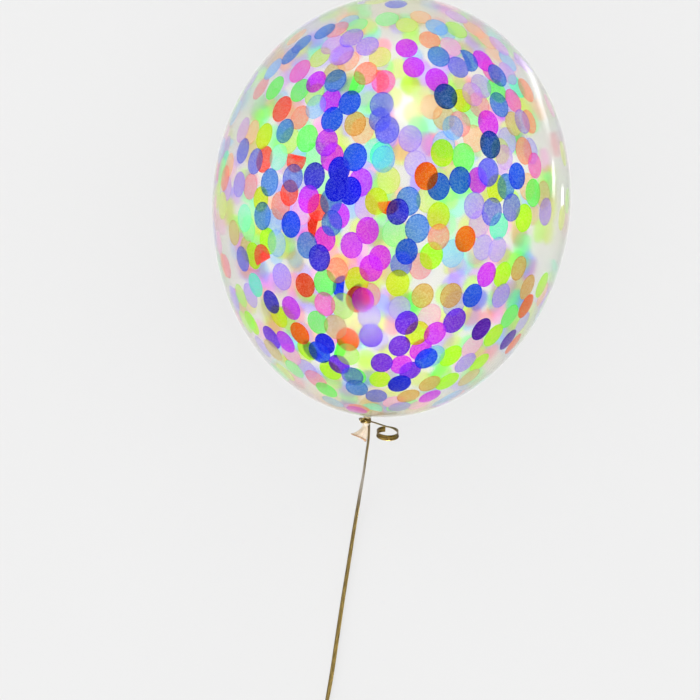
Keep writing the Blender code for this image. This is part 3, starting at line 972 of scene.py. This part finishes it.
def disc_tree():
    """Geometry Nodes that stand a paper disc on each point, crease it and drape it on a wall."""
    tree, given, result = new_tree(
        "Discs on a wall",
        (
            ("Disc Radius", "NodeSocketFloat", 0.0093),
            ("Disc Stretch", "NodeSocketFloat", 1.15),
            ("Disc Columns", "NodeSocketInt", DISC_COLUMNS),
            ("Paper Thickness", "NodeSocketFloat", 0.00006),
            ("Wall", "NodeSocketObject", None),
            ("Paper", "NodeSocketMaterial", None),
        ),
    )
    here = add(tree, "GeometryNodeInputPosition")
    # A disc in columns, so that it can crease along any of them.
    grid = {"Size X": 2.0, "Size Y": 2.0, "Vertices X": given["Disc Columns"], "Vertices Y": 3}
    grid = add(tree, "GeometryNodeMeshGrid", grid)
    square = add(tree, "ShaderNodeSeparateXYZ", {"Vector": here}).outputs
    half_turn = {"From Min": -1.0, "From Max": 1.0, "To Min": math.pi, "To Max": 0.0}
    angle = add(tree, "ShaderNodeMapRange", {"Value": square["X"], **half_turn})
    cosine = add(tree, "ShaderNodeMath", {0: angle}, operation="COSINE")
    sine = add(tree, "ShaderNodeMath", {0: angle}, operation="SINE")
    side = add(tree, "ShaderNodeMath", {0: sine, 1: square["Y"]}, operation="MULTIPLY")
    unit_disc = add(tree, "ShaderNodeCombineXYZ", {"X": cosine, "Y": side})
    round_place = add(
        tree, "ShaderNodeVectorMath", {0: unit_disc, "Scale": given["Disc Radius"]}, operation="SCALE"
    )
    rounded = add(tree, "GeometryNodeSetPosition", {"Geometry": grid, "Position": round_place})
    sheet = add(tree, "GeometryNodeMergeByDistance", {"Geometry": rounded, "Distance": MERGE_DISTANCE})
    raising = {"Mesh": sheet, "Offset Scale": given["Paper Thickness"], "Individual": False}
    raised = add(tree, "GeometryNodeExtrudeMesh", raising)
    under = add(tree, "GeometryNodeFlipFaces", {"Mesh": sheet})
    both = add(tree, "GeometryNodeJoinGeometry", {"Geometry": under})
    tree.links.new(raised.outputs["Mesh"], both.inputs["Geometry"])
    disc = add(tree, "GeometryNodeMergeByDistance", {"Geometry": both, "Distance": MERGE_DISTANCE})
    marks = {"Geometry": disc, "Name": "disc", "Value": here}
    marked = add(tree, "GeometryNodeStoreNamedAttribute", marks, data_type="FLOAT_VECTOR")

    stood = add(tree, "GeometryNodeInstanceOnPoints", {"Points": given["Geometry"], "Instance": marked})
    real = add(tree, "GeometryNodeRealizeInstances", {"Geometry": stood})
    flat, across, facing, meridian = (
        add(tree, "GeometryNodeInputNamedAttribute", {"Name": name}, data_type="FLOAT_VECTOR")
        for name in ("disc", "across", "facing", "meridian")
    )
    lift, crease, turn, size = (
        add(tree, "GeometryNodeInputNamedAttribute", {"Name": name}, data_type="FLOAT")
        for name in ("lift", "crease", "turn", "size")
    )
    middle = add(tree, "ShaderNodeVectorMath", {0: here, 1: flat}, operation="SUBTRACT")

    # What lies beyond the crease turns about it.
    flat = add(tree, "ShaderNodeSeparateXYZ", {"Vector": flat}).outputs
    past = add(tree, "ShaderNodeMath", {0: flat["X"], 1: crease}, operation="SUBTRACT")
    over = add(tree, "ShaderNodeMath", {0: past, 1: 0.0}, operation="MAXIMUM")
    folded = add(tree, "ShaderNodeMath", {0: past, 1: MERGE_DISTANCE}, operation="GREATER_THAN")
    rise = add(tree, "ShaderNodeMath", {0: turn}, operation="SINE")
    level = add(tree, "ShaderNodeMath", {0: turn}, operation="COSINE")
    shrink = add(tree, "ShaderNodeMath", {0: level, 1: 1.0}, operation="SUBTRACT")
    new_x = add(tree, "ShaderNodeMath", {0: over, 1: shrink, 2: flat["X"]}, operation="MULTIPLY_ADD")
    tip = add(tree, "ShaderNodeMath", {0: folded, 1: shrink, 2: 1.0}, operation="MULTIPLY_ADD")
    face_height = add(tree, "ShaderNodeMath", {0: flat["Z"], 1: tip, 2: lift}, operation="MULTIPLY_ADD")
    height = add(tree, "ShaderNodeMath", {0: over, 1: rise, 2: face_height}, operation="MULTIPLY_ADD")

    # The disc's own plane, drawn out along the balloon.
    along = add(tree, "ShaderNodeVectorMath", {0: facing, 1: across}, operation="CROSS_PRODUCT")
    to_side = add(tree, "ShaderNodeVectorMath", {0: across, "Scale": new_x}, operation="SCALE")
    to_end = add(tree, "ShaderNodeVectorMath", {0: along, "Scale": flat["Y"]}, operation="SCALE")
    shift = add(tree, "ShaderNodeVectorMath", {0: to_side, 1: to_end}, operation="ADD")
    reach = add(tree, "ShaderNodeVectorMath", {0: shift, 1: meridian}, operation="DOT_PRODUCT")
    extra = add(tree, "ShaderNodeMath", {0: given["Disc Stretch"], 1: 1.0}, operation="SUBTRACT")
    more = add(tree, "ShaderNodeMath", {0: reach, 1: extra}, operation="MULTIPLY")
    drawn = add(tree, "ShaderNodeVectorMath", {0: meridian, "Scale": more}, operation="SCALE")
    stretched = add(tree, "ShaderNodeVectorMath", {0: shift, 1: drawn}, operation="ADD")
    sized = add(tree, "ShaderNodeVectorMath", {0: stretched, "Scale": size}, operation="SCALE")
    aimed = add(tree, "ShaderNodeVectorMath", {0: middle, 1: sized}, operation="ADD")

    # The nearest place on the wall, and from there in by the disc's own height.
    wall = add(tree, "GeometryNodeObjectInfo", {"Object": given["Wall"]}).outputs["Geometry"]
    nearest = {"Geometry": wall, "Sample Position": aimed}
    near = add(tree, "GeometryNodeProximity", nearest, target_element="FACES")
    normals = {"Mesh": wall, "Value": add(tree, "GeometryNodeInputNormal"), "Sample Position": aimed}
    outward = add(tree, "GeometryNodeSampleNearestSurface", normals, data_type="FLOAT_VECTOR")
    inset = add(tree, "ShaderNodeVectorMath", {0: outward, "Scale": height}, operation="SCALE")
    final = add(tree, "ShaderNodeVectorMath", {0: near, 1: inset}, operation="SUBTRACT")
    draped = add(tree, "GeometryNodeSetPosition", {"Geometry": real, "Position": final})
    papered = add(tree, "GeometryNodeSetMaterial", {"Geometry": draped, "Material": given["Paper"]})
    tree.links.new(papered.outputs["Geometry"], result["Geometry"])
    return tree


def seen_point(wall, right, up):
    """Where the camera's ray through these shares of the half sizes meets the wall, and the normal there."""
    target = BODY_MIDDLE + SEEN_RIGHT * right * HALF_WIDTH + SEEN_UP * up * HALF_LENGTH
    place, normal, _, _ = wall.ray_cast(CAMERA_PLACE, (target - CAMERA_PLACE).normalized())
    if place is None:
        raise RuntimeError(f"nothing of the balloon is seen at {right}, {up}")
    return place, normal


def random_discs(wall, count, rng):
    """Discs for the sides and for the wall that lies lowest, where they gather: (place, normal, paper)."""
    discs = []
    while len(discs) < count:
        height = rng.uniform(-1, 1)
        angle = rng.uniform(0, 2 * math.pi)
        ring = HALF_WIDTH * math.sqrt(1 - height * height)
        aim = Vector((ring * math.cos(angle), HALF_LENGTH * height, ring * math.sin(angle)))
        place, normal, _, _ = wall.ray_cast(BODY_MIDDLE, aim.normalized())
        low = normal.z < LOW_NORMAL
        sparse = normal.dot(SEEN_RIGHT) > RIGHT_NORMAL and not low
        near_end = smooth_step(abs(place.y - BODY_MIDDLE.y), *END_FADE)
        chance = LOW_CHANCE if low else RIGHT_CHANCE if sparse else OTHER_CHANCE
        chance *= 1 - END_LOSS * near_end
        if normal.z > HIGH_NORMAL or place.y < BODY_END + NECK_MARGIN or rng.random() > chance:
            continue
        pale = rng.random() < (PALE_LOW if low else PALE_ELSEWHERE)
        discs.append((place, normal, rng.choice(PALE_MIX if pale else STRONG_MIX)))
    return discs


def scatter(wall, settings):
    """All discs, as (place, normal, paper, crease, turn, spin)."""
    radius = settings.disc_radius
    discs = []
    for paper, places in UPPER_DISCS.items():
        for right, up in places:
            discs.append((*seen_point(wall, right / 100, up / 100), paper, 2 * radius, 0.0, 0.0))
    for paper, right, up, crease, turn, spin in CREASED_DISCS:
        place, normal = seen_point(wall, right, up)
        discs.append((place, normal, paper, crease * radius, math.radians(turn), math.radians(spin)))
    rng = random.Random(settings.confetti_seed)
    for place, normal, paper in random_discs(wall, settings.extra_discs, rng):
        creased = rng.random() < CREASED_SHARE
        crease = rng.uniform(*CREASE_PLACES) * radius if creased else 2 * radius
        turn = math.radians(rng.choice(CREASE_TURNS)) if creased else 0.0
        discs.append((place, normal, paper, crease, turn, rng.uniform(0, 2 * math.pi)))
    return discs


def disc_layers(discs, radius):
    """A layer number for each disc, so that overlapping ones lie on each other and not in each other."""
    reach = 2.3 * radius  # discs that are nearer than this may overlap
    layers = []
    for index, disc in enumerate(discs):
        taken = {layers[other] for other in range(index) if (discs[other][0] - disc[0]).length < reach}
        layers.append(next(layer for layer in range(len(discs)) if layer not in taken))
    return layers


def disc_points(discs, settings):
    """A mesh of bare points that carry each disc's lie, crease and dye."""
    mesh = bpy.data.meshes.new("disc points")
    mesh.from_pydata([tuple(disc[0]) for disc in discs], [], [])
    vectors = {"across": [], "facing": [], "meridian": []}
    numbers = {"lift": [], "crease": [], "turn": [], "size": []}
    rng = random.Random(settings.confetti_seed)
    dyes = []
    papers = {**PAPERS, **PALE_PAPERS}
    layers = disc_layers(discs, settings.disc_radius)
    for (_, normal, paper, crease, turn, spin), layer in zip(discs, layers):
        facing = -normal
        meridian = (Vector((0, 1, 0)) - facing * facing.y).normalized()
        across = Matrix.Rotation(spin, 3, facing) @ meridian.cross(facing)
        vectors["across"].extend(across)
        vectors["facing"].extend(facing)
        vectors["meridian"].extend(meridian)
        numbers["lift"].append(settings.disc_lift * (1 + layer))
        numbers["crease"].append(crease)
        numbers["turn"].append(turn)
        numbers["size"].append(rng.uniform(*DISC_SIZES))
        dyes.extend(linear(papers[paper]))
    for name, values in vectors.items():
        mesh.attributes.new(name, "FLOAT_VECTOR", "POINT").data.foreach_set("vector", values)
    for name, values in numbers.items():
        mesh.attributes.new(name, "FLOAT", "POINT").data.foreach_set("value", values)
    mesh.attributes.new("dye", "FLOAT_COLOR", "POINT").data.foreach_set("color", dyes)
    return mesh


class BALLOON_OT_confetti(bpy.types.Operator):
    """Stick the tissue discs to the inside of the latex"""

    bl_idname = "confetti_balloon.confetti"
    bl_label = "Tissue Confetti"

    def execute(self, context):
        settings = context.scene.confetti_balloon
        form = linked("inside of the latex", wall_mesh(settings.latex_wall))
        discs = scatter(ray_tree(form.data), settings)
        confetti = linked("tissue_confetti", disc_points(discs, settings))
        node_modifier(
            confetti,
            disc_tree(),
            {
                "Disc Radius": settings.disc_radius,
                "Disc Stretch": settings.disc_stretch,
                "Disc Columns": DISC_COLUMNS,
                "Paper Thickness": settings.paper_thickness,
                "Wall": form,
                "Paper": tissue_material(),
            },
        )
        made_plain(confetti)
        bpy.data.objects.remove(form)
        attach(confetti, "root")
        return {"FINISHED"}


# ---------------------------------------------------------------- the knot and the coil's band


class BALLOON_OT_knot(bpy.types.Operator):
    """Wind the ribbon round the neck and knot it"""

    bl_idname = "confetti_balloon.knot"
    bl_label = "Ribbon Knot"

    def execute(self, context):
        knot = ribbon_knot(bpy.data.materials["metallised gold ribbon"])
        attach(knot, "root")
        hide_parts("ribbon_knot")
        return {"FINISHED"}


def ribbon_knot(material):
    """Three bunched turns round the neck and a tight overhand knot, as one piece."""
    bm = bmesh.new()
    for turn, (offset, radius) in enumerate(NECK_TURNS):
        points = []
        for step in range(TURN_POINTS + 4):
            angle = 2 * math.pi * step / TURN_POINTS + turn * 1.9
            along = offset + 0.00018 * math.sin(3 * angle + turn) + 0.0003 * step / TURN_POINTS
            points.append(KNOT_MIDDLE + Vector((radius * math.cos(angle), along, radius * math.sin(angle))))
        join_band(bm, points, *TURN_BAND, None, turn)
    trefoil = []
    for step in range(KNOT_POINTS + 1):
        t = 2 * math.pi * step / KNOT_POINTS
        x, y = math.sin(t) + 2 * math.sin(2 * t), math.cos(t) - 2 * math.cos(2 * t)
        trefoil.append(KNOT_MIDDLE + KNOT_OFFSET + Vector((x, y, -math.sin(3 * t))) * KNOT_SCALE)
    join_band(bm, trefoil, *KNOT_BAND, lambda distance: 0.0, 7)
    return linked("ribbon_tie", mesh_from(bm, "ribbon_tie"), material)


def join_band(bm, points, width, thickness, turn, seed):
    """Add to bm a strip of gathered ribbon along the points, with lengthwise crumples."""
    columns = 7
    rng = random.Random(seed)
    crumples = [rng.uniform(-1, 1) * thickness * CRUMPLE_DEPTH for _ in range(columns + 1)]

    def crumple(step, share, distance):
        ripple = RIPPLE_DEPTH * thickness * math.sin(5 * distance / width + step)
        return crumples[round(share * columns)] + ripple

    strip = strip_mesh("band", points, (0, 1, 0), width, thickness, crumple, turn, columns, gathered=True)
    bm.from_mesh(strip)
    bpy.data.meshes.remove(strip)


class BALLOON_OT_coil_tie(bpy.types.Operator):
    """Give the coil's paper band its finish"""

    bl_idname = "confetti_balloon.coil_tie"
    bl_label = "Coil Tie"

    def execute(self, context):
        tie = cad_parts["coil_tie"]
        tie.data.materials.clear()
        tie.data.materials.append(paper_material())
        return {"FINISHED"}


# ---------------------------------------------------------------- the studio


def lamp_material(name, strength):
    """A diffuser's glow: brightest along the middle of its map, and faded to its edges and ends."""
    material, tree = new_material(name)
    uv = add(tree, "ShaderNodeUVMap", uv_map="image")
    across_along = add(tree, "ShaderNodeSeparateXYZ", {"Vector": uv}).outputs
    power = strength
    for axis in ("X", "Y"):
        wave = add(tree, "ShaderNodeMath", {0: across_along[axis], 1: math.pi}, operation="MULTIPLY")
        sine = add(tree, "ShaderNodeMath", {0: wave}, operation="SINE")
        fade = add(tree, "ShaderNodeMath", {0: sine, 1: LAMP_FADE}, operation="POWER")
        power = add(tree, "ShaderNodeMath", {0: fade, 1: power}, operation="MULTIPLY")
    glow = add(tree, "ShaderNodeEmission", {"Strength": power})
    clear = add(tree, "ShaderNodeBsdfTransparent")
    both = add(tree, "ShaderNodeAddShader", {0: glow, 1: clear})
    add(tree, "ShaderNodeOutputMaterial", {"Surface": both})
    return material


def mirrored_lamp(wall, name, rows, reach, strength):
    """A glowing sheet, seen only in gloss, whose mirror image on the balloon fills the given rows.

    Each row is (right, up) of the image's left edge and of its right edge, in shares.
    """
    corners, uvs, faces = [], [], []
    for row, (left, right) in enumerate(rows):
        for column in range(LAMP_COLUMNS + 1):
            share = column / LAMP_COLUMNS
            place, normal = seen_point(wall, *[a + (b - a) * share for a, b in zip(left, right)])
            corners.append(place + (place - CAMERA_PLACE).normalized().reflect(normal) * reach)
            uvs.append((share, row / (len(rows) - 1)))
    for row in range(len(rows) - 1):
        for column in range(LAMP_COLUMNS):
            first = row * (LAMP_COLUMNS + 1) + column
            faces.append((first, first + 1, first + LAMP_COLUMNS + 2, first + LAMP_COLUMNS + 1))
    mesh = bpy.data.meshes.new(name)
    mesh.from_pydata(corners, [], faces)
    layer = mesh.uv_layers.new(name="image")
    for loop in mesh.loops:
        layer.data[loop.index].uv = uvs[loop.vertex_index]
    lamp = linked(name, mesh, lamp_material(name, strength))
    lamp.visible_camera = False
    lamp.visible_diffuse = False
    lamp.visible_transmission = False
    lamp.visible_shadow = False


def streak(low_right, low_up, high_right, high_up, half_width):
    """Rows for a lamp whose image is a thin line between two places."""
    image = []
    for row in range(LAMP_ROWS + 1):
        share = row / LAMP_ROWS
        right = low_right + (high_right - low_right) * share
        up = low_up + (high_up - low_up) * share
        image.append(((right - half_width, up), (right + half_width, up)))
    return image


def patch(right, up, half_width, half_height):
    """Rows for a lamp whose image is an upright oval patch about this place."""
    image = []
    for row in range(LAMP_ROWS + 1):
        height = 2 * row / LAMP_ROWS - 1
        width = half_width * math.sqrt(max(0.05, 1 - height * height))
        image.append(((right - width, up + height * half_height), (right + width, up + height * half_height)))
    return image


class BALLOON_OT_stage(bpy.types.Operator):
    """Set up the camera, the floor and the light"""

    bl_idname = "confetti_balloon.stage"
    bl_label = "Stage"

    def execute(self, context):
        settings = context.scene.confetti_balloon
        scene = context.scene
        camera = bpy.data.objects.new("camera", bpy.data.cameras.new("camera"))
        scene.collection.objects.link(camera)
        camera.location = CAMERA_PLACE
        camera.rotation_euler = (0, 0, CAMERA_TURN)
        camera.data.lens = settings.camera_lens
        scene.camera = camera

        floor = bpy.data.meshes.new("floor")
        around = ((-1, -1), (1, -1), (1, 1), (-1, 1))
        corners = [(x * FLOOR_HALF, y * FLOOR_HALF, FLOOR_LEVEL) for x, y in around]
        floor.from_pydata(corners, [], [(0, 1, 2, 3)])
        floor.materials.append(floor_material())
        linked("floor", floor)

        world = bpy.data.worlds.new("studio")
        world.use_nodes = True
        tree = world.node_tree
        tree.nodes.clear()
        direction = add(tree, "ShaderNodeTexCoord").outputs["Generated"]
        height = add(tree, "ShaderNodeSeparateXYZ", {"Vector": direction}).outputs["Z"]
        sky = ramp_stops(add(tree, "ShaderNodeValToRGB", {"Fac": height}), (0.0, "#C9C9C7"), (0.5, "#FFFFFF"))
        light = add(tree, "ShaderNodeBackground", {"Color": sky, "Strength": settings.world_strength})
        add(tree, "ShaderNodeOutputWorld", {"Surface": light})
        scene.world = world

        outside = wall_mesh(0.0)
        wall = ray_tree(outside)
        bpy.data.meshes.remove(outside)
        for name, rows, reach, strength in (
            ("upper softbox", patch(0.106, 0.483, 0.15, 0.13), 1.2, 90.0),
            ("lower softbox", patch(-0.13, -0.555, 0.17, 0.13), 1.2, 80.0),
            ("strip light", [((r - w, u), (r + w, u)) for r, u, w in RIM_IMAGE], 0.12, 7.0),
            ("first tube", streak(0.915, 0.01, 0.907, 0.26, 0.008), 0.10, 22.0),
            ("second tube", streak(0.961, -0.01, 0.961, 0.12, 0.007), 0.10, 18.0),
            ("side softbox", SIDE_IMAGE, 0.15, 1.5),
        ):
            mirrored_lamp(wall, name, rows, reach, strength)

        scene.view_settings.view_transform = "Standard"
        scene.cycles.max_bounces = 32
        scene.cycles.transmission_bounces = 32
        scene.cycles.transparent_max_bounces = 32
        return {"FINISHED"}


# ---------------------------------------------------------------- the add-on


class BalloonSettings(bpy.types.PropertyGroup):
    """Sizes and colours of the balloon, its confetti, its ribbon and its studio"""

    latex_tint: bpy.props.FloatVectorProperty(
        name="Latex Tint",
        description="Colour that the stretched latex gives to light that passes through it",
        subtype="COLOR_GAMMA",
        size=3,
        min=0.0,
        max=1.0,
        default=(0.957, 0.955, 0.942),
    )
    latex_wall: bpy.props.FloatProperty(
        name="Latex Wall",
        description="Thickness of the blown-up latex",
        unit="LENGTH",
        default=0.00015,
        min=0.00005,
    )
    latex_ior: bpy.props.FloatProperty(
        name="Latex IOR", description="How strongly the latex bends light", default=1.12, min=1.0
    )
    latex_clearness: bpy.props.FloatProperty(
        name="Latex Clearness",
        description="Share of light that passes through and isn't scattered",
        subtype="FACTOR",
        default=1.0,
        min=0.0,
        max=1.0,
    )
    inside_roughness: bpy.props.FloatProperty(
        name="Inside Roughness",
        description="Dullness of the powdered inside of the latex",
        subtype="FACTOR",
        default=0.2,
        min=0.0,
        max=1.0,
    )
    latex_segments: bpy.props.IntProperty(
        name="Latex Segments", description="Faces round the balloon", default=160, min=24
    )
    disc_radius: bpy.props.FloatProperty(
        name="Disc Radius", description="Half width of a tissue disc", unit="LENGTH", default=0.0091
    )
    disc_stretch: bpy.props.FloatProperty(
        name="Disc Stretch", description="Length of a disc along the balloon for its width", default=1.19
    )
    disc_lift: bpy.props.FloatProperty(
        name="Disc Lift", description="Distance between layers of tissue", unit="LENGTH", default=0.00025
    )
    paper_thickness: bpy.props.FloatProperty(
        name="Paper Thickness", description="Thickness of the tissue", unit="LENGTH", default=0.00006
    )
    tissue_clearness: bpy.props.FloatProperty(
        name="Tissue Clearness",
        description="Share of light that passes through each face of the tissue",
        subtype="FACTOR",
        default=0.98,
        min=0.0,
        max=1.0,
    )
    # The discs' painted glow in their own colour, which stands in for the light that falls on them.
    tissue_painted_glow: bpy.props.FloatProperty(
        name="Tissue Painted Glow",
        description="Light that the fluorescent dyes give back, as a share of full white",
        default=0.11,
        min=0.0,
    )
    extra_discs: bpy.props.IntProperty(
        name="Extra Discs", description="Discs on the sides and the lower wall", default=720, min=0
    )
    confetti_seed: bpy.props.IntProperty(name="Confetti Seed", description="Seed of the scatter", default=11)
    ribbon_width: bpy.props.FloatProperty(
        name="Ribbon Width", description="Width of the curling ribbon", unit="LENGTH", default=0.005
    )
    ribbon_thickness: bpy.props.FloatProperty(
        name="Ribbon Thickness", description="Thickness of the curling ribbon", unit="LENGTH", default=0.00022
    )
    ribbon_length: bpy.props.FloatProperty(
        name="Ribbon Length", description="Length of the long end with its coil", unit="LENGTH", default=1.5
    )
    ribbon_colour: bpy.props.FloatVectorProperty(
        name="Ribbon Colour",
        description="Gold of the ribbon's metal",
        subtype="COLOR_GAMMA",
        size=3,
        min=0.0,
        max=1.0,
        default=(0.42, 0.35, 0.17),
    )
    world_strength: bpy.props.FloatProperty(
        name="Studio Light", description="Brightness of the light all round", default=2.3, min=0.0
    )
    camera_lens: bpy.props.FloatProperty(
        name="Lens", description="Focal length in millimetres", subtype="DISTANCE_CAMERA", default=113.5
    )


class BALLOON_PT_sidebar(bpy.types.Panel):
    """Lists the balloon's sizes and its build steps"""

    bl_idname = "BALLOON_PT_sidebar"
    bl_label = "Confetti Balloon"
    bl_space_type = "VIEW_3D"
    bl_region_type = "UI"
    bl_category = "Balloon"

    def draw(self, context):
        settings = context.scene.confetti_balloon
        for name in BalloonSettings.__annotations__:
            self.layout.prop(settings, name)
        for operator in STEPS:
            self.layout.operator(operator.bl_idname)


STEPS = (
    BALLOON_OT_stage,
    BALLOON_OT_ribbon_ends,
    BALLOON_OT_latex,
    BALLOON_OT_confetti,
    BALLOON_OT_knot,
    BALLOON_OT_coil_tie,
)
CLASSES = (BalloonSettings, *STEPS, BALLOON_PT_sidebar)


def register():
    for cls in CLASSES:
        bpy.utils.register_class(cls)
    bpy.types.Scene.confetti_balloon = bpy.props.PointerProperty(type=BalloonSettings)


def unregister():
    del bpy.types.Scene.confetti_balloon
    for cls in reversed(CLASSES):
        bpy.utils.unregister_class(cls)


def main():
    register()
    for operator in STEPS:
        group, name = operator.bl_idname.split(".")
        getattr(getattr(bpy.ops, group), name)()


if __name__ == "__main__":
    main()
